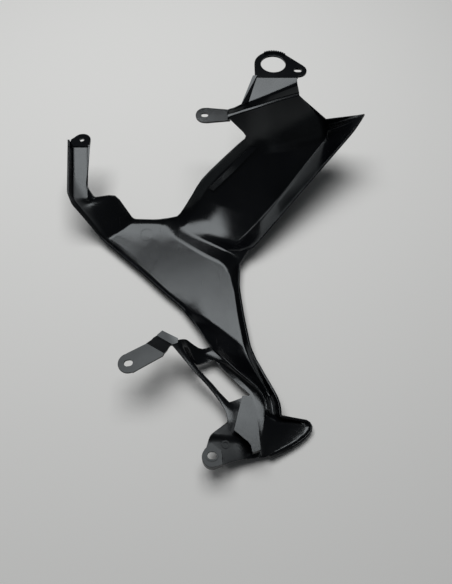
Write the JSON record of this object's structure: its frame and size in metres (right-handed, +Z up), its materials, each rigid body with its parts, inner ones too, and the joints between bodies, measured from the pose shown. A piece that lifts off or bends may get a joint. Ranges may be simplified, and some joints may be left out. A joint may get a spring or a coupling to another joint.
{
  "type": "motorcycle inner side fairing",
  "caption": "Moulded inner side fairing with a dished wing, a flat centre panel, a curved leg and foot, and slotted lugs with a ring bracket for fixing.",
  "frame": {"origin": "centre of the footprint, on the surface the part lies on", "axes": "+Z up out of the ribbed inner face, +Y from the foot to the ring bracket, +X to the tip of the wing"},
  "size_m": [0.3748, 0.4915, 0.1257],
  "materials": {
    "moulding": "satin black, grained moulding"
  },
  "bodies": {
    "root": {"fairing_panel": "moulding"}
  },
  "joints": []
}
